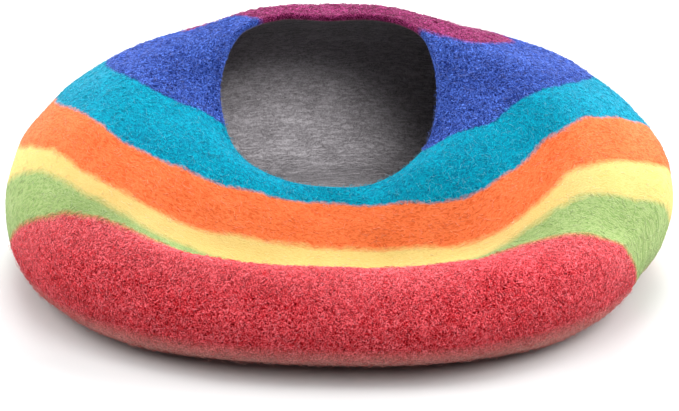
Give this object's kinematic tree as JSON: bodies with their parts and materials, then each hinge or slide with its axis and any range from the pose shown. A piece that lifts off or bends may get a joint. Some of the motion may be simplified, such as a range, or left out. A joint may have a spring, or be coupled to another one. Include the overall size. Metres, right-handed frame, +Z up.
{
  "type": "felt cat cave",
  "caption": "Seamless felted wool cat cave: a low hollow dome with a wide round mouth on top, slumped into a soft roll at the front.",
  "frame": {"origin": "middle of the plan's bounding box, on the floor that the cave rests on", "axes": "+Z up, +X to the right as seen from the front, -Y towards the front, where the wall has slumped into a roll"},
  "size_m": [0.5376, 0.461, 0.1963],
  "materials": {
    "wool_felt": "matte fuzzy wool felt, ringed in magenta, blue, cyan, orange, yellow, green and red outside, grey inside"
  },
  "bodies": {
    "root": {"felt_shell": "wool_felt"}
  },
  "joints": []
}
